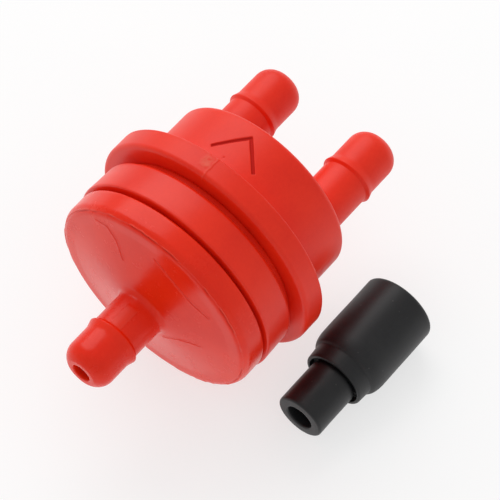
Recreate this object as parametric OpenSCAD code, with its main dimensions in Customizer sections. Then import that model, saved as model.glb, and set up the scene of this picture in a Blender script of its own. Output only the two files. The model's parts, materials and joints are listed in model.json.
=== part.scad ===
// Three-port in-line fuel filter: one hose barb in, two side by side hose barbs out,
// with the rubber step-down adapter that comes with it lying beside it.
// Millimetres. +X is the way the fuel flows, +Y runs through the two outlets,
// +Z passes through the flow arrow. The origin is on the filter's axis, at the
// middle of the plain round band that a spring clip grips.

/* [Outlet housing] */
// Diameter of the plain band behind the flange
band_d = 28.7; // [26.5:0.1:36]
// Length of that band, from the flange to the rounded rear edge
band_len = 8.4; // [8:0.1:14]
// Radius of the rounded rear edge
rear_edge_r = 1.3; // [0.4:0.1:2]
// Thickness of the rear wall that carries the two outlets
rear_wall = 2.2; // [1.4:0.1:3]
// How far the flange stands out past the band
flange_lip = 3.7; // [2:0.1:6]
// Thickness of the flange
flange_t = 3.5; // [2:0.1:6]
// Radius of the flange's front edge
flange_edge_r = 0.7; // [0.2:0.1:0.9]
// Wall between the band and the filter chamber
housing_wall = 1.75; // [1.2:0.05:3]
// Centre distance of the two outlets
outlet_pitch = 16.8; // [14:0.1:18]

/* [Drum] */
// How far the drum's front edge stands out past the band
drum_lip = 2.1; // [1.2:0.1:4]
// Taper of the drum's radius from front to rear
drum_taper = 0.2; // [0:0.05:0.5]
// Length of the drum's outer surface
drum_len = 5.05; // [3.5:0.05:9]
// Radius of the drum's rear edge
drum_edge_r = 0.55; // [0.2:0.05:0.8]
// Width of the groove between the drum and the flange
rear_groove = 1.15; // [0.6:0.05:2]
// Depth of both grooves under the drum's surface
groove_depth = 1.0; // [0.5:0.05:1.3]

/* [Inlet cover] */
// How far the cover's rim sits inside the drum's front edge
cover_step = 0.3; // [0:0.05:0.6]
// Height of the cover's rim, from the groove to the edge of the face
cover_len = 3.85; // [2.6:0.05:6]
// Radius of the rounded edge of the face
cover_edge_r = 1.3; // [0.5:0.1:2]
// Rise of the dome from that edge to the barb
dome_rise = 2.1; // [1:0.1:4]
// Share of the dome's rise that a straight cone would give, the rest flares near the barb
dome_cone = 0.7; // [0.4:0.05:1]
// Wall of the face under the dome
cover_wall = 2; // [1.5:0.1:2.4]
// Width of the groove between the cover and the drum
front_groove = 0.55; // [0.3:0.05:1.5]
// How far each half's spigot reaches into the drum
spigot_len = 1.9; // [1:0.1:2.2]
// Radial play between a spigot and the drum
spigot_gap = 0.05; // [0.02:0.01:0.1]

/* [Hose barbs] */
// Diameter of the plain neck behind the barb
neck_d = 7.3; // [6.4:0.05:8]
// Diameter of the barb's crest
crest_d = 8.1; // [8.05:0.05:8.6]
// Diameter of the land that the hose seals on
land_d = 7.4; // [6.6:0.05:7.9]
// Diameter of the fuel passage
passage_d = 2.8; // [2:0.1:3.6]
// From the rear wall to an outlet's crest
outlet_neck_len = 7.6; // [5:0.1:14]
// From the crest to the nose on an outlet
outlet_land_len = 5.1; // [4:0.1:9]
// From the dome to the inlet's crest
inlet_neck_len = 5.9; // [4:0.1:12]
// From the crest to the nose on the inlet
inlet_land_len = 4.2; // [3.8:0.1:9]
// Length of the rounded nose
nose_len = 2.2; // [1.5:0.1:2.3]
// Radius of the rounded nose
nose_r = 2.4; // [2.4:0.1:4]
// Length of the slope behind the crest
crest_back = 0.4; // [0.3:0.05:1.5]
// Length of the slope ahead of the crest
crest_front = 1.1; // [0.5:0.05:1.6]
// Fillet at the foot of an outlet
outlet_fillet_r = 0.4; // [0.2:0.1:0.8]
// Fillet at the foot of the inlet
inlet_fillet_r = 0.7; // [0.3:0.1:2]

/* [Flow arrow] */
// Length of the arrow head along the filter
arrow_len = 3.95; // [2:0.05:5]
// Width of the arrow head
arrow_w = 7.2; // [4:0.1:9]
// Width of the engraved line
arrow_line = 0.62; // [0.3:0.02:1]
// Depth of the engraved line
arrow_depth = 0.35; // [0.15:0.05:0.6]
// Where the arrow's tip is along the band
arrow_tip_x = 2.75; // [1:0.05:3.5]

/* [Filter element] */
// Number of pleats in the paper
pleats = 30; // [16:1:36]
// Radial thickness of the folded paper
paper_t = 0.8; // [0.5:0.05:1.2]
// Radial play around the paper's outside
element_gap = 1.7; // [1:0.1:2.5]
// Outside diameter of the perforated core
core_d = 12; // [9:0.1:13]
// Wall of the core
core_wall = 0.9; // [0.6:0.05:1.3]
// Diameter of the core's holes
core_hole_d = 2; // [1:0.1:2.4]
// Holes around the core in each row
core_holes = 6; // [4:2:8]
// Thickness of both end caps
end_cap_t = 1; // [0.6:0.1:1.6]
// Thickness of the flat rubber gasket
gasket_t = 0.8; // [0.5:0.05:1.2]
// Width of the ledge that the gasket seats on
ledge_w = 1.7; // [1.2:0.1:2]
// Radial play around the gasket and the outlet end cap
gasket_gap = 0.2; // [0.1:0.05:0.4]
// Depth of the clean chamber behind the element
clean_depth = 3; // [2:0.1:3.6]
// Feet that hold the element off the cover
feet = 4; // [3:1:8]
// Width of one foot
foot_w = 1.6; // [1:0.1:2]
// Width of the flat ring inside the cover that the feet stand on
seat_w = 3.6; // [2.6:0.1:4]

/* [Adapter] */
// Outside diameter of the cuff
cuff_d = 11.1; // [9.6:0.1:14]
// Length of the straight cuff
cuff_len = 10.6; // [8:0.1:16]
// Inside diameter of the socket
socket_d = 7.3; // [6.4:0.05:8]
// Depth of the socket
socket_len = 10; // [6:0.1:14]
// Length of the sloping shoulder
shoulder_len = 2.3; // [1:0.1:4]
// Length of the collar past the shoulder
collar_len = 2.3; // [1:0.1:4]
// Outside diameter of the collar at the shoulder
collar_d = 9.5; // [8.8:0.05:9.6]
// Outside diameter of the nozzle
nozzle_d = 7.24; // [6:0.02:7.4]
// Passage through the nozzle
nozzle_bore_d = 4; // [3:0.1:5]
// Length of nozzle that stands out of the collar
nozzle_out = 7.4; // [4:0.1:14]
// How much thinner in radius the nozzle is where the cuff grips it
grip_drop = 0.3; // [0.25:0.01:0.4]
// Radial play of the nozzle in the cuff's neck
nozzle_gap = 0.03; // [0.02:0.01:0.08]
// Wall between the nozzle's end and the socket
web_t = 1.5; // [0.8:0.1:2.5]
// Width of the open ring where the nozzle leaves the collar
mouth_gap = 0.45; // [0.2:0.05:0.6]
// Depth of that open ring
mouth_depth = 1.1; // [0.5:0.1:1.8]
// Where the socket's mouth lies along X
adapter_mouth_x = 8; // [4:0.1:12]
// Clear distance between the cuff and the flange, seen from the end
adapter_clear = 2.05; // [1:0.05:10]
// Radius of the cuff's edges
cuff_edge_r = 0.6; // [0.2:0.1:1]
// Radius of the nozzle's edges
nozzle_edge_r = 0.4; // [0.1:0.1:0.8]

/* [Hidden] */

red = [0.84, 0.17, 0.11];
white = [0.90, 0.89, 0.85];
paper = [0.88, 0.80, 0.60];
black = [0.12, 0.12, 0.13];

round_fn = 96;
small_fn = 32;
arc_steps = 8;
over = 1;
small_edge = 0.25;

band_r = band_d / 2;
flange_r = band_r + flange_lip;
drum_front_r = band_r + drum_lip;
drum_rear_r = drum_front_r - drum_taper;
cover_r = drum_front_r - cover_step;
groove_r = drum_rear_r - groove_depth;
chamber_r = band_r - housing_wall;
spigot_wall = 1.3;
spigot_r = chamber_r + spigot_wall;

neck_r = neck_d / 2;
crest_r = crest_d / 2;
land_r = land_d / 2;
passage_r = passage_d / 2;
outlet_y = outlet_pitch / 2;

// Stations along X, from the band forwards and backwards.
flange_rear_x = -band_len / 2;
flange_front_x = flange_rear_x - flange_t;
drum_rear_x = flange_front_x - rear_groove;
drum_front_x = drum_rear_x - drum_len;
cover_rear_x = drum_front_x - front_groove;
face_x = cover_rear_x - cover_len;
inlet_root_x = face_x - dome_rise;
rear_x = band_len / 2 + rear_edge_r;
rear_inner_x = rear_x - rear_wall;
ledge_x = rear_inner_x - clean_depth;
cover_inner_x = face_x + cover_wall;

// Element stack, from the ledge forwards to the cover.
ledge_r = chamber_r - ledge_w;
seal_r = chamber_r - gasket_gap;
gasket_front_x = ledge_x - gasket_t;
outlet_cap_front_x = gasket_front_x - end_cap_t;
element_r = chamber_r - element_gap;
core_r = core_d / 2;
pleat_gap = 0.15;
element_inner_r = core_r + pleat_gap;
foot_len = 3.1;
inlet_cap_front_x = cover_inner_x + foot_len;
inlet_cap_rear_x = inlet_cap_front_x + end_cap_t;
element_len = outlet_cap_front_x - inlet_cap_rear_x;
foot_at_r = element_r - foot_w / 2;
rim_w = 0.4;
rim_gap = 0.1;
rim_len = 1.2;
core_rows = 3;
row_pitch = element_len / core_rows;

// Adapter stations along its own axis: mouth at 0, nozzle's end below 0.
cuff_r = cuff_d / 2;
socket_r = socket_d / 2;
collar_r = collar_d / 2;
nozzle_r = nozzle_d / 2;
grip_r = nozzle_r - grip_drop;
neck_bore_r = grip_r + nozzle_gap;
cuff_front = -cuff_len;
collar_back = cuff_front - shoulder_len;
collar_front = collar_back - collar_len;
web_back = -socket_len;
web_front = web_back - web_t;
nozzle_front = collar_front - nozzle_out;
grip_end = collar_front - nozzle_gap;
lip_edge_r = 0.45;
lip_drop = 0.15;
socket_chamfer = 0.4;
lip_r = nozzle_r + mouth_gap;
adapter_z = cuff_r - flange_r;
adapter_reach = flange_r + adapter_clear + cuff_r;
adapter_y = -sqrt(adapter_reach * adapter_reach - adapter_z * adapter_z);

// Points of an arc about [cx, cy] from angle a0 to a1.
function arc(cx, cy, r, a0, a1) =
    [for (i = [0:arc_steps])
        let(a = a0 + (a1 - a0) * i / arc_steps)
        [cx + r * cos(a), cy + r * sin(a)]];

// Turns an outline of [radius, x] points about the X axis.
module turned(points) {
    rotate([0, 90, 0])
        rotate_extrude($fn = round_fn)
            polygon(points);
}

// A round rod along X between two stations.
module rod(r, x0, x1, fn = round_fn) {
    translate([x0, 0, 0])
        rotate([0, 90, 0])
            cylinder(h = x1 - x0, r = r, $fn = fn);
}

// Outline of a hose barb that stands on x = 0 and points along +X.
function barb_outline(neck_len, land_len, fillet_r) =
    let(nose_x = neck_len + land_len, nose_a = asin(nose_len / nose_r))
    concat(
        [[0, -over], [neck_r + fillet_r, -over]],
        arc(neck_r + fillet_r, fillet_r, fillet_r, 270, 180),
        [[neck_r, neck_len - crest_back], [crest_r, neck_len], [land_r, neck_len + crest_front]],
        arc(land_r - nose_r, nose_x, nose_r, 0, nose_a),
        [[0, nose_x + nose_len]]
    );

// Engraved arrow head, cut from the top of the band.
module arrow_cut() {
    arm = sqrt(arrow_len * arrow_len + arrow_w * arrow_w / 4);
    lean = atan2(arrow_w / 2, arrow_len);
    intersection() {
        translate([arrow_tip_x, 0, 0])
            for (side = [-1, 1])
                rotate([0, 0, side * lean])
                    translate([-arm, -arrow_line / 2, 0])
                        cube([arm + arrow_line / 3, arrow_line, band_r + over]);
        difference() {
            rod(band_r + over, -band_len / 2, band_len / 2);
            rod(band_r - arrow_depth, -band_len / 2 - over, band_len / 2 + over);
        }
    }
}

module inlet_cover() {
    dome_r = cover_r - cover_edge_r;
    foot_r = neck_r + inlet_fillet_r;
    dome = [for (i = [1:arc_steps])
        let(t = i / arc_steps)
        [dome_r + (foot_r - dome_r) * t, face_x - dome_rise * (dome_cone * t + (1 - dome_cone) * t * t)]];
    spigot_end_x = drum_front_x + spigot_len;
    outside = concat(
        [[0, spigot_end_x], [spigot_r, spigot_end_x], [spigot_r, drum_front_x]],
        [[groove_r, drum_front_x], [groove_r, cover_rear_x]],
        [[cover_r - small_edge, cover_rear_x], [cover_r, cover_rear_x - small_edge]],
        arc(dome_r, face_x + cover_edge_r, cover_edge_r, 0, -90),
        dome,
        [[0, inlet_root_x]]
    );
    cone_tip_x = inlet_root_x + cover_wall;
    chamber = [
        [0, spigot_end_x + over], [chamber_r, spigot_end_x + over], [chamber_r, cover_inner_x],
        [chamber_r - seat_w, cover_inner_x], [passage_r, cone_tip_x], [0, cone_tip_x]
    ];
    tip_x = inlet_root_x - inlet_neck_len - inlet_land_len - nose_len;
    color(red)
        difference() {
            union() {
                turned(outside);
                translate([inlet_root_x, 0, 0])
                    rotate([0, 0, 180])
                        turned(barb_outline(inlet_neck_len, inlet_land_len, inlet_fillet_r));
            }
            turned(chamber);
            rod(passage_r, tip_x - over, cover_inner_x);
        }
}

module drum() {
    bore_r = spigot_r + spigot_gap;
    outline = concat(
        [[bore_r, drum_front_x], [bore_r, flange_front_x]],
        [[groove_r, flange_front_x], [groove_r, drum_rear_x]],
        arc(drum_rear_r - drum_edge_r, drum_rear_x - drum_edge_r, drum_edge_r, 90, 0),
        [[drum_front_r, drum_front_x + small_edge], [drum_front_r - small_edge, drum_front_x]]
    );
    color(red)
        turned(outline);
}

module outlet_housing() {
    spigot_end_x = flange_front_x - spigot_len;
    outside = concat(
        [[0, spigot_end_x], [spigot_r, spigot_end_x], [spigot_r, flange_front_x]],
        arc(flange_r - flange_edge_r, flange_front_x + flange_edge_r, flange_edge_r, -90, 0),
        [[flange_r, flange_rear_x - small_edge], [flange_r - small_edge, flange_rear_x]],
        [[band_r, flange_rear_x]],
        arc(band_r - rear_edge_r, band_len / 2, rear_edge_r, 0, 90),
        [[0, rear_x]]
    );
    chamber = [
        [0, spigot_end_x - over], [chamber_r, spigot_end_x - over], [chamber_r, ledge_x],
        [ledge_r, ledge_x], [ledge_r, rear_inner_x], [0, rear_inner_x]
    ];
    outlet_end_x = rear_x + outlet_neck_len + outlet_land_len + nose_len;
    color(red)
        difference() {
            union() {
                turned(outside);
                for (side = [-1, 1])
                    translate([rear_x, side * outlet_y, 0])
                        turned(barb_outline(outlet_neck_len, outlet_land_len, outlet_fillet_r));
            }
            turned(chamber);
            for (side = [-1, 1])
                translate([0, side * outlet_y, 0])
                    rod(passage_r, rear_inner_x - over, outlet_end_x + over);
            arrow_cut();
        }
}

// Low rim that holds the ends of the pleats, from x0 to x1.
module pleat_rim(x0, x1) {
    difference() {
        rod(element_r + rim_gap + rim_w, x0, x1);
        rod(element_r + rim_gap, x0 - over, x1 + over);
    }
}

module element_inlet_cap() {
    color(white)
        union() {
            rod(element_r + rim_gap + rim_w, inlet_cap_front_x, inlet_cap_rear_x);
            pleat_rim(inlet_cap_rear_x, inlet_cap_rear_x + rim_len);
            for (i = [0:feet - 1])
                rotate([i * 360 / feet, 0, 0])
                    translate([cover_inner_x, -foot_w / 2, foot_at_r - foot_w / 2])
                        cube([foot_len + end_cap_t / 2, foot_w, foot_w]);
        }
}

module pleated_element() {
    half_pleat = 180 / pleats;
    function fold(tip_r, valley_r) =
        [for (i = [0:2 * pleats - 1])
            let(r = i % 2 == 0 ? tip_r : valley_r)
            [r * cos(i * half_pleat), r * sin(i * half_pleat)]];
    color(paper)
        translate([inlet_cap_rear_x, 0, 0])
            rotate([0, 90, 0])
                linear_extrude(height = element_len)
                    difference() {
                        polygon(fold(element_r, element_inner_r + paper_t));
                        polygon(fold(element_r - paper_t, element_inner_r));
                    }
}

module element_core() {
    color(white)
        difference() {
            rod(core_r, inlet_cap_rear_x, outlet_cap_front_x);
            rod(core_r - core_wall, inlet_cap_rear_x - over, outlet_cap_front_x + over);
            for (row = [0:core_rows - 1])
                for (i = [0:core_holes / 2 - 1])
                    translate([inlet_cap_rear_x + (row + 0.5) * row_pitch, 0, 0])
                        rotate([i * 360 / core_holes, 0, 0])
                            cylinder(h = core_d + over, d = core_hole_d, center = true, $fn = small_fn);
        }
}

module element_outlet_cap() {
    color(white)
        difference() {
            union() {
                rod(seal_r, outlet_cap_front_x, gasket_front_x);
                pleat_rim(outlet_cap_front_x - rim_len, outlet_cap_front_x);
            }
            rod(core_r - core_wall, outlet_cap_front_x - over, gasket_front_x + over);
        }
}

module element_gasket() {
    color(black)
        difference() {
            rod(seal_r, gasket_front_x, ledge_x);
            rod(ledge_r, gasket_front_x - over, ledge_x + over);
        }
}

// Puts a piece of the adapter where it lies beside the filter.
module adapter_place() {
    translate([adapter_mouth_x, adapter_y, adapter_z])
        children();
}

module adapter_cuff() {
    shoulder = [for (i = [1:arc_steps])
        let(a = 90 * i / arc_steps)
        [collar_r + (cuff_r - collar_r) * cos(a), cuff_front - shoulder_len * sin(a)]];
    outside = concat(
        [[0, 0]],
        arc(cuff_r - cuff_edge_r, -cuff_edge_r, cuff_edge_r, 90, 0),
        [[cuff_r, cuff_front]],
        shoulder,
        arc(collar_r - lip_drop - lip_edge_r, collar_front + lip_edge_r, lip_edge_r, 0, -90),
        [[0, collar_front]]
    );
    inside = [
        [0, over], [socket_r + socket_chamfer, over], [socket_r + socket_chamfer, 0],
        [socket_r, -socket_chamfer], [socket_r, web_back], [nozzle_bore_d / 2, web_back],
        [nozzle_bore_d / 2, web_front], [neck_bore_r, web_front], [neck_bore_r, collar_front + mouth_depth],
        [lip_r, collar_front + mouth_depth], [lip_r, collar_front - over], [0, collar_front - over]
    ];
    color(black)
        adapter_place()
            difference() {
                turned(outside);
                turned(inside);
            }
}

module adapter_nozzle() {
    outline = concat(
        [[nozzle_bore_d / 2, web_front], [nozzle_bore_d / 2, nozzle_front]],
        arc(nozzle_r - nozzle_edge_r, nozzle_front + nozzle_edge_r, nozzle_edge_r, -90, 0),
        [[nozzle_r, grip_end], [grip_r, grip_end], [grip_r, web_front]]
    );
    color(black)
        adapter_place()
            turned(outline);
}

inlet_cover();
drum();
outlet_housing();
element_inlet_cap();
pleated_element();
element_core();
element_outlet_cap();
element_gasket();
adapter_cuff();
adapter_nozzle();
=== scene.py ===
# %% [markdown]
# # A three-port fuel filter and its rubber adapter
#
# The filter is a small red nylon can with one hose barb in and two out. Beside it lies a black
# rubber sleeve that steps one hose size down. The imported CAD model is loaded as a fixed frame, and
# every skin that shows is built again as a fine surface of revolution, in metres, in that frame.

import json
import math

import bmesh
import bpy
import numpy as np
from mathutils import Euler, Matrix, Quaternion, Vector


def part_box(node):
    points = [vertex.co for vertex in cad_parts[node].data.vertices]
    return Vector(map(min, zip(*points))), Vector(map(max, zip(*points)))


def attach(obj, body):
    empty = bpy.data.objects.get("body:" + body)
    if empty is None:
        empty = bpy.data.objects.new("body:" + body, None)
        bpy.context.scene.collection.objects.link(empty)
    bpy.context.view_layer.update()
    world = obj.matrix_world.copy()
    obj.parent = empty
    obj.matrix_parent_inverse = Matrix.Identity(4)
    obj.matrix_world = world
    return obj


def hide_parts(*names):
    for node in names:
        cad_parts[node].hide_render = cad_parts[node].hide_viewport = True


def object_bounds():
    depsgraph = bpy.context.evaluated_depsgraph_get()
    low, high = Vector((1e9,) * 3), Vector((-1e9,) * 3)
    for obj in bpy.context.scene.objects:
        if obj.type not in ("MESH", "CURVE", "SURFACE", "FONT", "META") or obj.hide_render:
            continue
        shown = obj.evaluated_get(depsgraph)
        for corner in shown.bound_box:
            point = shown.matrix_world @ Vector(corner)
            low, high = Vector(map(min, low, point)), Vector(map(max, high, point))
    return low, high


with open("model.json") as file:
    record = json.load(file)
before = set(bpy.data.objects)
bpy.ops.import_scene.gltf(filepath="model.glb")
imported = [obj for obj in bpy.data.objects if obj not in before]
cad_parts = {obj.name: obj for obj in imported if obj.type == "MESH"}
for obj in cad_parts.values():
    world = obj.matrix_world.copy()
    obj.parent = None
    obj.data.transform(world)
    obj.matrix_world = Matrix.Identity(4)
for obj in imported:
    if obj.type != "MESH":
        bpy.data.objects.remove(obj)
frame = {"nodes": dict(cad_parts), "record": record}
CAD_BOX = [list(corner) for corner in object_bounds()]
MM = 0.001
mounts = {mount["name"]: mount for mount in frame["record"]["mounts"]}

# %% [markdown]
# ## Stations along the filter
#
# A turned part is known by its radii and by where each step lies along its axis. The outermost
# ones are read from the boxes of the CAD nodes and from the mounts. The small steps between them
# are the sizes below, in millimetres, as a turner would mark them from one face to the next. The
# flange is drawn a little small, so that the ridges on its rim stay inside the CAD's box.


# %% Radii and stations
def low_high(node):
    """Lowest and highest corner of a CAD node, in millimetres."""
    low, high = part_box(node)
    return np.array(low) / MM, np.array(high) / MM


cover_low, cover_high = low_high("inlet_cover")
drum_low, drum_high = low_high("drum")
_, housing_high = low_high("outlet_housing")

band_r = mounts["clip_band"]["dims"]["r_mm"]
band_len = mounts["clip_band"]["dims"]["length_mm"]
land_r = mounts["inlet_barb"]["dims"]["r_mm"]
outlet_y = abs(mounts["outlet_barb_left"]["pos_m"][1]) / MM

cover_r = cover_high[2]
drum_front_r = drum_high[2]
drum_taper = 0.2
drum_rear_r = drum_front_r - drum_taper
groove_depth = 1.3
groove_r = drum_rear_r - groove_depth
ridge_room = 0.07
flange_r = housing_high[2] - ridge_room
flange_edge = 0.7
housing_wall = 1.75
chamber_r = band_r - housing_wall
spigot_wall = 1.3
spigot_r = chamber_r + spigot_wall
spigot_gap = 0.05
drum_bore_r = spigot_r + spigot_gap
ledge_w = 1.7
ledge_r = chamber_r - ledge_w
neck_drop = 0.05
neck_r = land_r - neck_drop
crest_rise = 0.35
crest_r = land_r + crest_rise
passage_r = 1.4
small_edge = 0.25
drum_rear_edge = 0.8

flange_rear_x = -band_len / 2
flange_front_x = drum_high[0]
drum_front_x = drum_low[0]
rear_groove = 1.15
drum_rear_x = flange_front_x - rear_groove
front_groove = 0.55
cover_rear_x = drum_front_x - front_groove
cover_edge = 1.3
cover_len = 3.85
face_x = cover_rear_x - cover_len
dome_rise = 2.1
dome_cone = 0.7
root_x = face_x - dome_rise
cover_wall = 2.0
cover_inner_x = face_x + cover_wall
seat_w = 3.6
seat_r = chamber_r - seat_w
rear_edge = 0.9
rear_x = band_len / 2 + rear_edge
rear_wall = 2.2
rear_inner_x = rear_x - rear_wall
clean_depth = 3.0
ledge_x = rear_inner_x - clean_depth
spigot_len = 1.9
print(f"filter from {cover_low[0]:.1f} to {housing_high[0]:.1f} mm, flange radius {flange_r:.2f} mm")

# %% [markdown]
# ## Turning a profile
#
# A lathe profile could be spun with Blender's Screw modifier, but then every ring is the same and
# nothing can be engraved. Here a profile is a closed list of corners, each with the radius that
# rounds it, and the spun skin is one numpy array of stations by angles. A function of station and
# angle may then push the skin in or out, which gives the arrow, the mould lines and the flash real
# depth. No moulding has a sharp corner, and the small radii are what catch the light.


# %% Profile helpers
SAME_POINT = 0.001 * MM


def corner(x, r, rounding=0.0, step=0.5):
    """One corner of an outline, and the largest spacing of points on the side after it."""
    return x, r, rounding, step


def round_corners(corners):
    """Points of a closed outline. Each corner is cut back along both of its sides by its radius
    divided by tan(half the angle between them), and the circle arc that touches both sides there
    joins the two cuts: a slerp of the two radii. Straight sides are divided evenly."""
    arcs = []
    for i, (x, r, rounding, step) in enumerate(corners):
        here = np.array([x, r])
        back = np.array(corners[i - 1][:2]) - here
        ahead = np.array(corners[(i + 1) % len(corners)][:2]) - here
        len_back, len_ahead = np.linalg.norm(back), np.linalg.norm(ahead)
        back, ahead = back / len_back, ahead / len_ahead
        between = math.acos(float(np.clip(back @ ahead, -1, 1)))
        if rounding <= 0 or between > math.pi - 0.02:
            arcs.append(here[None])
            continue
        cut = min(rounding / math.tan(between / 2), 0.49 * len_back, 0.49 * len_ahead)
        true_r = cut * math.tan(between / 2)
        middle = (back + ahead) / np.linalg.norm(back + ahead)
        centre = here + middle * true_r / math.sin(between / 2)
        turn = math.pi - between
        steps = int(np.clip(math.ceil(turn * true_r / (0.5 * step)), 4, 32))
        t = np.linspace(0, 1, steps + 1)[:, None]
        start, end = here + back * cut - centre, here + ahead * cut - centre
        spread = start * np.sin((1 - t) * turn) + end * np.sin(t * turn)
        arcs.append(centre + spread / math.sin(turn))
    points = []
    for i, arc in enumerate(arcs):
        nxt = arcs[(i + 1) % len(arcs)][0]
        pieces = max(1, math.ceil(np.linalg.norm(nxt - arc[-1]) / corners[i][3]))
        points += [arc[:-1], np.linspace(arc[-1], nxt, pieces, endpoint=False)]
    return np.concatenate(points)


def outward(points):
    """Unit normals of a closed outline: the chord between a point's two neighbours turned by a
    right angle, to the side that the signed area says is outside."""
    chord = np.roll(points, -1, 0) - np.roll(points, 1, 0)
    normal = np.stack([chord[:, 1], -chord[:, 0]], 1)
    normal /= np.linalg.norm(normal, axis=1)[:, None] + 1e-12
    x, r = points.T
    return normal * np.sign(np.sum(x * np.roll(r, -1) - np.roll(x, -1) * r))


def angles(*fine, coarse=1.6):
    """Angles once round in radians, from (from, to, step) ranges in degrees, with the coarse
    step wherever no range says otherwise."""
    stops, at = [], fine[0][0] if fine else 0.0
    end = at + 360
    for low, high, step in [*fine, (end, end, 1)]:
        if low > at:
            stops.append(np.linspace(at, low, math.ceil((low - at) / coarse), endpoint=False))
        if high > low:
            stops.append(np.linspace(low, high, math.ceil((high - low) / step), endpoint=False))
        at = high
    return np.radians(np.concatenate(stops))


def turned(corners, around, push=None, centre=(0.0, 0.0)):
    """Closed surface of revolution about X. Station i at angle a is the point
    (x_i, r_i sin a, r_i cos a) + centre, moved along the outline's normal by push(x, r, a).
    Both parameters close on themselves, so the skin has no open edge. Returns points in metres,
    quads whose signed volume is positive, which makes them face outwards, and the push itself in
    millimetres, which the paints use as a mask."""
    points = round_corners(corners)
    normal = outward(points)
    rows, cols = len(points), len(around)
    x, a = np.meshgrid(points[:, 0], around, indexing="ij")
    r = np.repeat(points[:, 1:], cols, 1)
    out = push(x, r, a) if push else np.zeros_like(x)
    x, r = x + normal[:, :1] * out, r + normal[:, 1:] * out
    verts = np.stack([x, r * np.sin(a) + centre[0], r * np.cos(a) + centre[1]], -1).reshape(-1, 3)
    i, j = np.meshgrid(np.arange(rows), np.arange(cols), indexing="ij")
    i2, j2 = (i + 1) % rows, (j + 1) % cols
    quads = np.stack([i * cols + j, i2 * cols + j, i2 * cols + j2, i * cols + j2], -1)
    quads = quads.reshape(-1, 4)
    p = verts[quads]
    volume = np.sum(np.cross(p[:, 0], p[:, 1]) * p[:, 2] + np.cross(p[:, 0], p[:, 2]) * p[:, 3])
    return verts * MM, quads if volume > 0 else quads[:, ::-1], out.ravel()


def make_piece(name, skins, node, body, paint):
    """One object at the origin from all of a moulding's skins, shaded smooth, which rides on its
    body and stands in for its CAD node. The push of each point is kept as the attribute "push".
    Where a wall reaches the axis a whole ring is one point, so points that coincide are merged."""
    starts = np.cumsum([0] + [len(skin[0]) for skin in skins])
    verts = np.concatenate([skin[0] for skin in skins])
    quads = np.concatenate([skin[1] + start for skin, start in zip(skins, starts)])
    push = np.concatenate([skin[2] for skin in skins])
    mesh = bpy.data.meshes.new(name)
    mesh.from_pydata(verts.tolist(), [], quads.tolist())
    mesh.polygons.foreach_set("use_smooth", np.ones(len(quads), bool))
    mesh.attributes.new("push", "FLOAT", "POINT").data.foreach_set("value", push)
    mesh.materials.append(paint)
    form = bmesh.new()
    form.from_mesh(mesh)
    bmesh.ops.remove_doubles(form, verts=form.verts, dist=SAME_POINT)
    form.to_mesh(mesh)
    form.free()
    piece = bpy.data.objects.new(name, mesh)
    bpy.context.scene.collection.objects.link(piece)
    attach(piece, body)
    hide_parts(node)
    print(f"{name}: {2 * len(quads)} triangles")
    return piece


print("profile helpers ready")

# %% [markdown]
# ## Small marks in a skin
#
# Flash, knit lines and gate scars are fractions of a millimetre deep, but they bend a sharp
# reflection, so they are what tells a real moulding from a drawing. Each is a distance to a line,
# turned into a ridge or a valley by a bell curve.


# %% Mark helpers
def bell(distance, width):
    """exp(-(d / w)^2): 1 on the line and nearly 0 two widths away."""
    return np.exp(-((distance / width) ** 2))


def smooth_step(value, low, high):
    """0 below low, 1 above high, and the cubic 3t^2 - 2t^3 between them."""
    t = np.clip((value - low) / (high - low), 0, 1)
    return t * t * (3 - 2 * t)


def box_mask(value, low, high, soft):
    """1 between low and high, falling to 0 over the width soft outside them."""
    return smooth_step(value, low - soft, low) * smooth_step(-value, -high - soft, -high)


def line_distance(y, z, line):
    """Shortest distance from each point to a line of straight pieces: the point's place along
    each piece is clipped to its ends, and the nearest piece wins."""
    nearest = np.full_like(y, np.inf)
    for (y0, z0), (y1, z1) in zip(line, line[1:]):
        length2 = (y1 - y0) ** 2 + (z1 - z0) ** 2
        t = np.clip(((y - y0) * (y1 - y0) + (z - z0) * (z1 - z0)) / length2, 0, 1)
        nearest = np.minimum(nearest, np.hypot(y - y0 - t * (y1 - y0), z - z0 - t * (z1 - z0)))
    return nearest


def wander(a, seed, waves):
    """A closed wandering curve round the part: sines of whole-number frequency, each with a
    seeded phase and a height of one over the root of its frequency."""
    phases = np.random.default_rng(seed).uniform(0, 2 * np.pi, len(waves))
    total = sum(np.sin(w * a + phase) * (waves[0] / w) ** 0.5 for w, phase in zip(waves, phases))
    return total / sum((waves[0] / w) ** 0.5 for w in waves)


print("mark helpers ready")

# %% [markdown]
# ## Shader wiring
#
# Every finish here is a network of procedural nodes. Wiring it by hand hides the arithmetic, so a
# small class wraps a socket: adding or multiplying two of them adds the Math node that does it.


# %% Sockets that do arithmetic
class Wire:
    """An output socket on which + - * work, also with a plain number on either side."""

    def __init__(self, paint, socket):
        self.paint, self.socket = paint, socket

    def _math(self, operation, a, b):
        return self.paint.node("ShaderNodeMath", {"operation": operation}, {0: a, 1: b})

    def __add__(self, other):
        return self._math("ADD", self, other)

    def __sub__(self, other):
        return self._math("SUBTRACT", self, other)

    def __rsub__(self, other):
        return self._math("SUBTRACT", other, self)

    def __mul__(self, other):
        return self._math("MULTIPLY", self, other)

    __radd__ = __add__
    __rmul__ = __mul__


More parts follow.
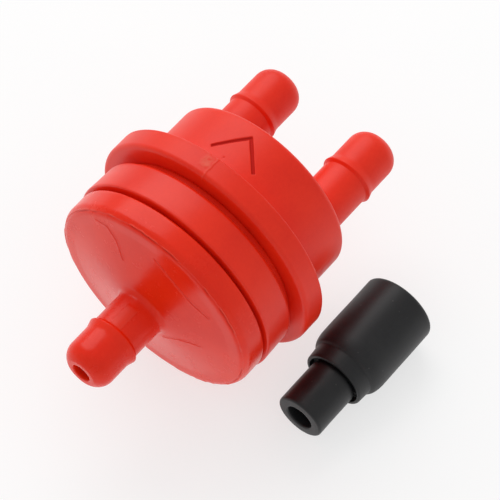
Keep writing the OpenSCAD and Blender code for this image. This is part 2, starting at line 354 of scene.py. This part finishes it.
class Paint:
    """One material. node() adds any node, and the other methods add the few patterns that all of
    the finishes share. Lengths are in millimetres."""

    def __init__(self, name):
        self.material = bpy.data.materials.new(name)
        self.material.use_nodes = True
        self.tree = self.material.node_tree
        self.tree.nodes.clear()
        self.place = self.node("ShaderNodeTexCoord", output="Object")

    def node(self, kind, settings=None, inputs=None, output=0):
        """Adds a node, sets its settings and a ramp's stops first, then its sockets' values or
        links, and returns one of its outputs."""
        made = self.tree.nodes.new(kind)
        for key, value in (settings or {}).items():
            if key == "stops":
                for stop, (position, shade) in zip(made.color_ramp.elements, value):
                    stop.position, stop.color = position, (shade, shade, shade, 1)
            else:
                setattr(made, key, value)
        for key, value in (inputs or {}).items():
            if isinstance(value, Wire):
                self.tree.links.new(value.socket, made.inputs[key])
            else:
                made.inputs[key].default_value = value
        return Wire(self, made.outputs[output])

    def noise(self, size, detail=2.0, rough=0.5, place=None):
        """Noise about size millimetres across, from 0 to 1."""
        inputs = {"Vector": place or self.place, "Scale": 1 / (size * MM)}
        inputs |= {"Detail": detail, "Roughness": rough}
        return self.node("ShaderNodeTexNoise", {}, inputs)

    def specks(self, size, share):
        """Round dots about size millimetres apart: 1 in a dot and 0 elsewhere. The dots are
        where a Voronoi cell's point is nearer than share of the spacing."""
        near = self.node("ShaderNodeTexVoronoi", {}, {"Vector": self.place, "Scale": 1 / (size * MM)})
        return self.node("ShaderNodeMapRange", {}, {0: near, 1: share, 2: share * 0.5, 3: 0.0, 4: 1.0})

    def between(self, value, low, high):
        """value's range low to high, stretched to 0 to 1 and clipped."""
        return self.node("ShaderNodeMapRange", {}, {0: value, 1: low, 2: high, 3: 0.0, 4: 1.0})

    def blend(self, factor, a, b):
        """Colour a where factor is 0 and b where it is 1."""
        return self.node("ShaderNodeMix", {"data_type": "RGBA"}, {0: factor, 6: a, 7: b}, output=2)

    def bump(self, height, depth, under=None):
        """Bump whose height from 0 to 1 stands for depth millimetres, on top of another."""
        inputs = {"Height": height, "Strength": 1.0, "Distance": depth * MM}
        if under:
            inputs["Normal"] = under
        return self.node("ShaderNodeBump", {}, inputs)

    def finish(self, **sockets):
        """The Principled shader from its sockets' names in lower case with underscores."""
        titles = [key.replace("_", " ").title().replace("Ior", "IOR") for key in sockets]
        inputs = dict(zip(titles, sockets.values()))
        shader = self.node("ShaderNodeBsdfPrincipled", {}, inputs, output="BSDF")
        out = self.tree.nodes.new("ShaderNodeOutputMaterial")
        self.tree.links.new(shader.socket, out.inputs["Surface"])
        print(self.material.name, "has", len(self.tree.nodes), "nodes")
        return self.material


def rgb(r, g, b):
    """A colour from linear light values."""
    return r, g, b, 1.0


# %% [markdown]
# ## Red nylon
#
# Fuel fittings are moulded in nylon coloured through. It has a thin clear gloss over a deep red, so
# a face that looks at something pale is washed with white, and a groove that sees only itself
# glows a pure red. A plain red with high gloss would miss both. The base colour is therefore kept
# almost free of green and blue, and most of the paleness is left to the reflection. Two marks are
# painted light all the same: cuts and valleys in the skin are painted a darker red, a painted
# shade, and the tops of raised ridges are painted paler, a painted highlight. A little scattering
# below the surface softens the shade, as in any nylon. The cover came from a polished mould, and
# the drum and the housing from duller ones, so the roughness differs.


# %% Red nylon
DEEP_RED = rgb(0.800, 0.0180, 0.0024)
LIT_RED = rgb(0.880, 0.0270, 0.0052)
CUT_SHADE_RED = rgb(0.560, 0.0060, 0.0010)
PALE_RED = rgb(0.800, 0.1100, 0.0700)


def red_nylon(name, rough, gloss, scars=()):
    """rough is the mean roughness and gloss the strength of the clear reflection. Each scar is
    a box (low corner, high corner) in millimetres in which the skin is torn, dull and pale."""
    paint = Paint(name)
    flow = paint.noise(7.0, 2.0)
    grain = paint.noise(0.5, 3.0, 0.6)
    dust = paint.specks(2.3, 0.035)
    colour = paint.blend(paint.between(flow * 0.7 + grain * 0.3, 0.35, 0.65), DEEP_RED, LIT_RED)
    smear = paint.between(paint.noise(3.2, 4.0, 0.65), 0.5, 0.72)
    push = paint.node("ShaderNodeAttribute", {"attribute_name": "push"}, output="Fac")
    # Cuts and valleys, where the skin is pushed in, are painted a darker red: a painted shade.
    cut = paint.between(push, -0.03, -0.15)
    colour = paint.blend(cut, colour, CUT_SHADE_RED)
    # Dust specks and the torn scars are the nylon's own pale marks; raised ridges, pushed out more
    # than 0.025 mm, are painted paler as well: a painted highlight.
    dust_scars_and_ridge_highlight = dust * 0.35 + paint.between(push, 0.025, 0.08) * 0.5
    for low, high in scars:
        torn = paint.between(paint.noise(0.8, 2.0, 0.5), 0.38, 0.6)
        inside = None
        split = paint.tree.nodes.new("ShaderNodeSeparateXYZ")
        paint.tree.links.new(paint.place.socket, split.inputs[0])
        for axis in range(3):
            at = Wire(paint, split.outputs[axis])
            rise = paint.between(at, (low[axis] - 0.4) * MM, (low[axis] + 0.3) * MM)
            fall = paint.between(at, (high[axis] + 0.4) * MM, (high[axis] - 0.3) * MM)
            inside = rise * fall if inside is None else inside * rise * fall
        dust_scars_and_ridge_highlight = dust_scars_and_ridge_highlight + inside * torn
    colour = paint.blend(dust_scars_and_ridge_highlight * 0.8, colour, PALE_RED)
    wave = paint.bump(paint.noise(4.5, 1.0), 0.011)
    skin = paint.bump(paint.noise(0.9, 3.0, 0.6), 0.0035, wave)
    pits = paint.bump(1 - dust, 0.002, skin)
    return paint.finish(
        base_color=colour,
        roughness=smear * 0.07 + dust_scars_and_ridge_highlight * 0.25 + cut * 0.4 + (rough + grain * 0.04),
        normal=pits,
        ior=1.53,
        specular_ior_level=gloss,
        subsurface_weight=0.12,
        subsurface_radius=(1.0, 0.12, 0.06),
        subsurface_scale=0.8 * MM,
    )


gate_scar = ((-6.4, -0.1, flange_r - 1.2), (-4.7, 1.3, flange_r + 0.5))
cover_paint = red_nylon("polished_red_nylon", 0.22, 0.22)
drum_paint = red_nylon("satin_red_nylon", 0.32, 0.29)
housing_paint = red_nylon("soft_red_nylon", 0.38, 0.27, [gate_scar])

# %% [markdown]
# ## Black rubber
#
# The adapter is moulded fuel rubber: nearly black, with a wide dull highlight and a fine tooth
# that the mould leaves. Handling leaves grey dust and small pale specks. The nozzle is smoother
# than the cuff. Its colour and roughness come from noise at three sizes, so no patch repeats.


# %% Black rubber
def black_rubber(name, rough, tooth, pale):
    """rough is the mean roughness, tooth the depth of the mould's grain, pale the bloom's share."""
    paint = Paint(name)
    bloom = paint.between(paint.noise(5.0, 4.0, 0.6), 0.45, 0.75)
    grain = paint.noise(0.28, 2.0, 0.6)
    dots = paint.specks(1.7, 0.07)
    colour = paint.blend(grain, rgb(0.0080, 0.0080, 0.0090), rgb(0.0125, 0.0125, 0.0135))
    colour = paint.blend(bloom * pale, colour, rgb(0.026, 0.026, 0.027))
    colour = paint.blend(dots * 0.4, colour, rgb(0.085, 0.083, 0.080))
    rippled = paint.bump(paint.noise(2.4, 2.0), 0.012)
    return paint.finish(
        base_color=colour,
        roughness=bloom * 0.08 + grain * 0.08 + rough,
        normal=paint.bump(grain + dots * 0.6, tooth, rippled),
        ior=1.52,
        specular_ior_level=0.34,
    )


cuff_paint = black_rubber("cuff_rubber", 0.40, 0.006, 0.5)
nozzle_paint = black_rubber("nozzle_rubber_skin", 0.36, 0.004, 0.35)

# %% [markdown]
# ## Inside the can
#
# The filter element can't be seen while the can is closed, and its CAD solids have the right
# shape, so they stay and only get finishes: milky nylon for the caps and the core, resin-stiffened
# paper with its fibres for the pleats, and dull rubber for the gasket.


# %% Element finishes
def milky_nylon():
    """Off-white nylon: a warm and a cool white mixed by slow noise, with a faint grain."""
    paint = Paint("milky_nylon")
    tint = paint.blend(paint.noise(6.0, 2.0), rgb(0.70, 0.68, 0.60), rgb(0.80, 0.79, 0.73))
    return paint.finish(
        base_color=tint,
        roughness=paint.noise(1.5, 3.0) * 0.1 + 0.33,
        normal=paint.bump(paint.noise(0.8, 3.0), 0.004),
    )


def pleat_paper():
    """Filter paper: fibres are noise stretched along the pleats by a Mapping node, over a slow
    change of tint."""
    paint = Paint("pleat_paper")
    along = paint.node("ShaderNodeMapping", {}, {"Vector": paint.place, "Scale": (0.25, 1.0, 1.0)})
    fibre = paint.noise(0.35, 4.0, 0.65, along)
    tint = paint.blend(paint.noise(5.0, 2.0), rgb(0.62, 0.49, 0.28), rgb(0.72, 0.60, 0.38))
    tint = paint.blend(paint.between(fibre, 0.55, 0.75) * 0.5, tint, rgb(0.45, 0.33, 0.17))
    return paint.finish(
        base_color=tint,
        roughness=fibre * 0.15 + 0.75,
        normal=paint.bump(fibre, 0.03),
    )


white_paint = milky_nylon()
element_paints = {
    "element_inlet_cap": white_paint,
    "element_outlet_cap": white_paint,
    "element_core": white_paint,
    "pleated_element": pleat_paper(),
    "element_gasket": black_rubber("gasket_skin", 0.5, 0.004, 0.3),
}
for node_name, paint in element_paints.items():
    for slot in frame["nodes"][node_name].material_slots:
        slot.material = paint
print("finished", len(element_paints), "inner nodes")

# %% [markdown]
# ## The hose barbs
#
# All three barbs are one design: a plain neck, a crest whose back is steep so that the hose can't
# slip off, a land that the hose seals on, and a bullet nose that opens the hose. One function
# gives the outline of each, as distances from the wall it stands on.


# %% Barb outline
nose_len = 2.2
nose_radius = 2.4
crest_back = 0.4
crest_front = 1.1


def barb(wall_x, direction, neck_len, land_len, step=0.3):
    """Corners from the neck to the bore's mouth. The nose is the arc
    r = land - R + R cos t at x = start + R sin t, up to the flat round the bore."""
    t = np.linspace(0, math.asin(nose_len / nose_radius), 8)
    nose_x = neck_len + land_len
    nose_r = land_r - nose_radius + nose_radius * np.cos(t)
    along = [
        (neck_len - crest_back, neck_r, 0.15),
        (neck_len, crest_r, 0.18),
        (neck_len + crest_front, land_r, 2.0),
        *((nose_x + nose_radius * math.sin(v), radius, 0.0) for v, radius in zip(t[:-1], nose_r)),
        (nose_x + nose_len, nose_r[-1], 0.35),
        (nose_x + nose_len, passage_r, 0.2),
    ]
    return [corner(wall_x + direction * x, r, rounding, step) for x, r, rounding in along]


print("barb crest stands", round(crest_r - land_r, 2), "mm over the land")

# %% [markdown]
# ## The inlet cover
#
# The cover is the end that faces the camera: a spigot that fits inside the drum, a plain rim, a
# shallow dome and the inlet barb. Its rim carries a ragged line of weld flash all the way round,
# and three knit lines, where two fronts of melt met, cross its face. The dome is nearly a cone: its
# front is x = face - rise * (c t + (1 - c) t^2), with t from 0 at the rim to 1 at the barb.


# %% Inlet cover
knit_lines = [
    [(9.0, 11.4), (6.9, 11.8), (5.1, 10.4), (3.7, 7.8)],
    [(-1.4, 12.3), (-4.3, 10.4), (-7.6, 8.1), (-10.3, 6.8)],
    [(-3.3, -3.9), (-5.5, -2.3), (-7.7, -1.5), (-9.1, -1.3)],
]
strip_x = (-25.9, -22.4)
strip_deg = (-18, 8)


def cover_marks(x, r, a):
    """Flash, knit lines and the parting strip on the neck. The flash is a ridge with a valley
    beside it, at a wandering angle round the rim's rounded edge, and it breaks off here and
    there."""
    y, z = r * np.sin(a), r * np.cos(a)
    front = r > passage_r + 0.3
    turn = np.arctan2(r - (cover_r - cover_edge), face_x + cover_edge - x)
    rim = front & (x < face_x + cover_edge + 0.01) & (r > cover_r - cover_edge - 1.0)
    ragged = np.radians(41 + 3.5 * np.cos(a - 0.6)) + 0.05 * wander(a, 5, (19, 37, 61, 97))
    arc = (turn - ragged) * cover_edge
    torn = smooth_step(wander(a, 8, (7, 17, 29, 53)), -0.25, 0.35)
    out = rim * (0.10 * bell(arc, 0.09) - 0.12 * bell(arc + 0.20, 0.09)) * (0.3 + 0.7 * torn)
    face = front & (x < face_x + 0.1) & (r > neck_r + 0.8) & (r < cover_r - cover_edge)
    for line in knit_lines:
        gap = line_distance(y, z, line)
        out -= face * (0.075 * bell(gap, 0.12) - 0.035 * bell(gap - 0.25, 0.12))
    on_neck = (r > passage_r + 0.8) * box_mask(x, *strip_x, 0.25)
    strip = sum(box_mask(np.degrees(a) - turn_deg, *strip_deg, 1.5) for turn_deg in (0, 360))
    return out + 0.05 * on_neck * strip


dome_t = np.linspace(0.12, 1, 9)
dome_top_r, dome_foot_r = cover_r - cover_edge, neck_r + 0.2
dome_r = dome_top_r + (dome_foot_r - dome_top_r) * dome_t
dome_x = face_x - dome_rise * (dome_cone * dome_t + (1 - dome_cone) * dome_t**2)
cover_corners = [
    corner(drum_front_x + spigot_len, chamber_r, 0.15, 1.0),
    corner(drum_front_x + spigot_len, spigot_r, 0.15, 1.0),
    corner(drum_front_x, spigot_r, 0.0, 1.0),
    corner(drum_front_x, groove_r, 0.0, 0.3),
    corner(cover_rear_x, groove_r, 0.2, 0.4),
    corner(cover_rear_x, cover_r, 0.3, 0.3),
    corner(face_x, cover_r, cover_edge, 0.12),
    *(corner(x, r, 6.0, 0.13) for x, r in zip(dome_x[:-1], dome_r[:-1])),
    corner(root_x - 0.05, neck_r, 0.9, 0.35),
    *barb(root_x, -1, 5.9, 4.2),
    corner(root_x + 2.0, passage_r, 0.3, 1.5),
    corner(cover_inner_x, seat_r, 0.4, 1.2),
    corner(cover_inner_x, chamber_r, 0.4, 1.2),
]
cover_around = angles((-62, 42, 0.58), (212, 266, 1.0), coarse=2.4)
cover_skin = turned(cover_corners, cover_around, cover_marks)
make_piece("cover_moulding", [cover_skin], "inlet_cover", "filter", cover_paint)

# %% [markdown]
# ## The drum
#
# The drum is a plain ring between two grooves, a little narrower at the back, because a moulding
# needs draft to leave its mould. The back groove's floor belongs to it.


# %% Drum
def drum_marks(x, r, a):
    """A slow wave of a few hundredths of a millimetre: the wall sank unevenly as it cooled."""
    return (r > groove_r + 0.5) * 0.02 * wander(a + 0.15 * x, 21, (3, 5, 8, 13))


drum_corners = [
    corner(drum_front_x, drum_bore_r, 0.0, 1.0),
    corner(drum_front_x, drum_front_r, small_edge, 0.35),
    corner(drum_rear_x, drum_rear_r, drum_rear_edge, 0.2),
    corner(drum_rear_x, groove_r, 0.2, 0.3),
    corner(flange_front_x, groove_r, 0.0, 1.0),
    corner(flange_front_x, drum_bore_r, 0.0, 1.0),
]
drum_skin = turned(drum_corners, angles(coarse=1.0), drum_marks)
make_piece("drum_ring", [drum_skin], "drum", "filter", drum_paint)

# %% [markdown]
# ## The outlet housing
#
# The flange, the band that a clip holds, the rear wall and both outlet barbs are one moulding. An
# arrow head is cut into the top of the band and points to the outlets. The gate, where the melt
# came in, left a torn patch on top of the flange, with the mould's parting line beside it.


# %% Outlet housing
arrow_tip_x = 2.75
arrow_len = 3.95
arrow_half_w = 3.6
arrow_line = 0.46
arrow_depth = 0.25
pinhole_x, pinhole_y = -1.86, 0.89
parting_y = -0.35


def housing_marks(x, r, a):
    """The arrow head is two straight cuts from its tip: a point is in a cut if it lies within
    half a line's width of the arm and between the arm's ends. Behind the arrow is one pinhole.
    The scar is a low rippled patch, the parting line a low ridge, and the rim's rear edge carries
    a burr that comes and goes."""
    y, top = r * np.sin(a), np.cos(a) > 0
    on_band = top & (np.abs(r - band_r) < 0.05) & (np.abs(x) < band_len / 2)
    arm = math.hypot(arrow_len, arrow_half_w)
    cut = np.zeros_like(x)
    for side in (-1, 1):
        along = ((arrow_tip_x - x) * arrow_len + side * y * arrow_half_w) / arm
        across = ((arrow_tip_x - x) * arrow_half_w - side * y * arrow_len) / arm
        inside = box_mask(across, -arrow_line / 2 + 0.04, arrow_line / 2 - 0.04, 0.07)
        cut = np.maximum(cut, inside * box_mask(along, -arrow_line / 3, arm, 0.07))
    out = -arrow_depth * on_band * cut
    pit = bell(np.hypot(x - pinhole_x, y - pinhole_y), 0.13)
    out -= 0.12 * on_band * pit
    rim = top & (r > flange_r - 0.75) & (x < flange_rear_x + 0.01)
    patch = box_mask(x, -6.3, -4.8, 0.4) * box_mask(y, 0.0, 1.2, 0.35)
    out += rim * 0.035 * patch * (1 + 0.6 * np.sin(4 * x + 3 * y))
    seam = y - parting_y + 0.04 * np.sin(5 * x)
    out += rim * 0.07 * bell(seam, 0.11)
    burr = smooth_step(wander(a, 31, (9, 21, 43, 71)), -0.3, 0.5)
    out += (r > flange_r - 0.3) * 0.04 * bell(x - flange_rear_x + 0.25, 0.12) * burr
    return out


housing_corners = [
    corner(flange_front_x - spigot_len, chamber_r, 0.15, 1.0),
    corner(flange_front_x - spigot_len, spigot_r, 0.15, 1.0),
    corner(flange_front_x, spigot_r, 0.0, 0.5),
    corner(flange_front_x, flange_r, flange_edge, 0.14),
    corner(flange_rear_x, flange_r, small_edge, 0.12),
    corner(flange_rear_x, band_r, 0.2, 0.3),
    corner(arrow_tip_x - arrow_len - 0.6, band_r, 0.0, 0.09),
    corner(arrow_tip_x + 0.7, band_r, 0.0, 0.3),
    corner(rear_x, band_r, rear_edge, 0.25),
    corner(rear_x, 0.0, 0.0, rear_x - rear_inner_x),
    corner(rear_inner_x, 0.0, 0.0, 1.2),
    corner(rear_inner_x, ledge_r, 0.3, 1.0),
    corner(ledge_x, ledge_r, 0.1, 0.6),
    corner(ledge_x, chamber_r, 0.1, 1.2),
]
housing_around = angles((-17, 17, 0.34), coarse=2.2)
housing_skin = turned(housing_corners, housing_around, housing_marks)


root_sink = 0.9
root_flare = 0.75


def outlet(side):
    """One outlet barb, sunk in the rear wall, whose root flares into it."""
    corners = [
        corner(rear_x - root_sink, passage_r, 0.0, 0.6),
        corner(rear_x - root_sink, neck_r + root_flare, 0.0, 0.6),
        corner(rear_x + 0.01, neck_r + root_flare, 0.0, 0.2),
        corner(rear_x + 0.03, neck_r, 0.6, 0.3),
        *barb(rear_x, 1, 8.0, 5.1),
    ]
    return turned(corners, angles(coarse=3.4), centre=(side * outlet_y, 0.0))


outlet_skins = [outlet(side) for side in (-1, 1)]
make_piece(
    "housing_moulding",
    [housing_skin, *outlet_skins],
    "outlet_housing",
    "filter",
    housing_paint,
)

# %% [markdown]
# ## The rubber adapter
#
# The adapter is two mouldings. The cuff swallows a hose barb, narrows over a rounded shoulder to a
# short collar, and grips the nozzle, which leaves an open ring at the collar's mouth. Rubber never
# comes out quite round, so both skins carry a slow wave.


# %% Adapter
socket_mount = mounts["adapter_socket"]
nozzle_mount = mounts["adapter_nozzle"]
cuff_low, cuff_high = low_high("adapter_cuff")
nozzle_low, _ = low_high("adapter_nozzle")
adapter_centre = tuple(((cuff_low + cuff_high) / 2)[1:])
cuff_r = (cuff_high[2] - cuff_low[2]) / 2
socket_r = socket_mount["dims"]["r_mm"]
nozzle_r = nozzle_mount["dims"]["r_mm"]
mouth_x = cuff_high[0]
collar_x = cuff_low[0]
cuff_len = 10.6
shoulder_back = mouth_x - cuff_len
shoulder_len = 2.3
shoulder_front = shoulder_back - shoulder_len
collar_r = 4.75
lip_r = 4.07
lip_depth = 1.1
socket_len = 10.0
socket_end = mouth_x - socket_len
web_t = 1.5
web_front = socket_end - web_t
nozzle_bore = 2.0
grip_drop = 0.3
grip_r = nozzle_r - grip_drop
grip_play = 0.03
gap_r = grip_r + grip_play
grip_end = collar_x - grip_play


def rubber_wave(x, r, a):
    """Ovality and a few slow waves, up to three hundredths of a millimetre, never outwards."""
    return (r > nozzle_r - 0.6) * 0.015 * (wander(a + 0.2 * x, 41, (2, 3, 5)) - 1)


shoulder_t = np.linspace(0, 1, 9)
shoulder_x = shoulder_back - (shoulder_back - shoulder_front) * shoulder_t
shoulder_r = collar_r + (cuff_r - collar_r) * np.sqrt(np.clip(1 - shoulder_t**2, 0, 1))
cuff_corners = [
    corner(mouth_x, socket_r, 0.35, 0.3),
    corner(mouth_x, cuff_r, 0.6, 0.35),
    *(corner(x, r, 1.2, 0.2) for x, r in zip(shoulder_x[:-1], shoulder_r[:-1])),
    corner(shoulder_front, collar_r, 0.15, 0.3),
    corner(collar_x, collar_r - 0.15, 0.45, 0.15),
    corner(collar_x, lip_r, 0.1, 0.2),
    corner(collar_x + lip_depth, lip_r, 0.1, 0.3),
    corner(collar_x + lip_depth, gap_r, 0.0, 0.4),
    corner(web_front, gap_r, 0.0, 0.5),
    corner(web_front, nozzle_bore, 0.0, 0.5),
    corner(socket_end, nozzle_bore, 0.15, 0.5),
    corner(socket_end, socket_r, 0.2, 0.6),
]
cuff_skin = turned(cuff_corners, angles(coarse=2.0), rubber_wave, adapter_centre)
make_piece("cuff_sleeve", [cuff_skin], "adapter_cuff", "adapter", cuff_paint)

nozzle_corners = [
    corner(web_front, nozzle_bore, 0.0, 0.5),
    corner(web_front, grip_r, 0.1, 0.5),
    corner(grip_end, grip_r, 0.02, 0.1),
    corner(grip_end, nozzle_r, 0.04, 0.3),
    corner(nozzle_low[0], nozzle_r, 0.4, 0.2),
    corner(nozzle_low[0], nozzle_bore, 0.25, 0.35),
]
nozzle_skin = turned(nozzle_corners, angles(coarse=2.0), rubber_wave, adapter_centre)
make_piece("nozzle_tube", [nozzle_skin], "adapter_nozzle", "adapter", nozzle_paint)

# %% [markdown]
# ## Floor and light
#
# A small part is shown on a sweep of white acrylic lit from below, which swallows most of its
# shadow, under one wide softbox behind it, with white all round. The white surroundings matter as
# much as the light: they are what the glossy cover mirrors.


# %% Floor, light and sky
floor_z = CAD_BOX[0][2]
floor_gap = 0.02 * MM


def white_sweep():
    """A flat square two metres wide just under the part: pale acrylic with a faint grain, which
    glows by itself and scatters only a little of the part's red."""
    corners = np.array([(-1, -1, 0), (1, -1, 0), (1, 1, 0), (-1, 1, 0)]) + [0, 0, floor_z - floor_gap]
    mesh = bpy.data.meshes.new("white_sweep")
    mesh.from_pydata(corners.tolist(), [], [(0, 1, 2, 3)])
    paint = Paint("matt_white")
    tint = paint.blend(paint.noise(40.0, 2.0), rgb(0.34, 0.34, 0.34), rgb(0.36, 0.36, 0.36))
    glow = {"emission_color": rgb(1, 1, 1), "emission_strength": 0.66, "specular_ior_level": 0.0}
    dull = paint.noise(3.0) * 0.1 + 0.7
    mesh.materials.append(paint.finish(base_color=tint, roughness=dull, **glow))
    sweep = bpy.data.objects.new("white_sweep", mesh)
    bpy.context.scene.collection.objects.link(sweep)


def softbox(name, place, aim, size, watts):
    """A square area light at place that points at aim, in metres."""
    light = bpy.data.lights.new(name, "AREA")
    light.size = size
    light.energy = watts
    lamp = bpy.data.objects.new(name, light)
    lamp.location = place
    lamp.rotation_mode = "QUATERNION"
    lamp.rotation_quaternion = (Vector(aim) - Vector(place)).to_track_quat("-Z", "Y")
    bpy.context.scene.collection.objects.link(lamp)


white_sweep()
softbox("key_softbox", (0.25, 0.37, 0.44), (0, 0, 0), 0.55, 2.1)
world = bpy.data.worlds.new("white_room")
bpy.context.scene.world = world
world.use_nodes = True
sky = world.node_tree.nodes["Background"]
sky.inputs["Color"].default_value = rgb(1.0, 1.0, 1.0)
sky.inputs["Strength"].default_value = 0.61
bpy.context.scene.view_settings.view_transform = "Standard"
print("stage ready, floor at", round(floor_z / MM, 2), "mm")

# %% [markdown]
# ## Camera
#
# The camera looks down on the part from the inlet's side, from a third of a metre away with a long
# lens. It is given as an aim point, a heading, a height above the horizon and a small roll.

# %% Camera
heading = math.radians(-50.24)
height = math.radians(58.69)
roll = math.radians(-0.574)
aim = Vector((-2.68, -4.12, -2.86)) * MM
distance = 328.2 * MM

camera_data = bpy.data.cameras.new("camera")
camera_data.lens = 172.8
camera_data.sensor_width = 36.0
camera_data.clip_start = 0.01
camera = bpy.data.objects.new("camera", camera_data)
bpy.context.scene.collection.objects.link(camera)
turn = Euler((math.pi / 2 - height, 0, heading)).to_quaternion() @ Quaternion((0, 0, 1), roll)
camera.rotation_mode = "QUATERNION"
camera.rotation_quaternion = turn
camera.location = aim - turn @ Vector((0, 0, -1)) * distance
bpy.context.scene.camera = camera
print("camera at", [round(v, 4) for v in camera.location])
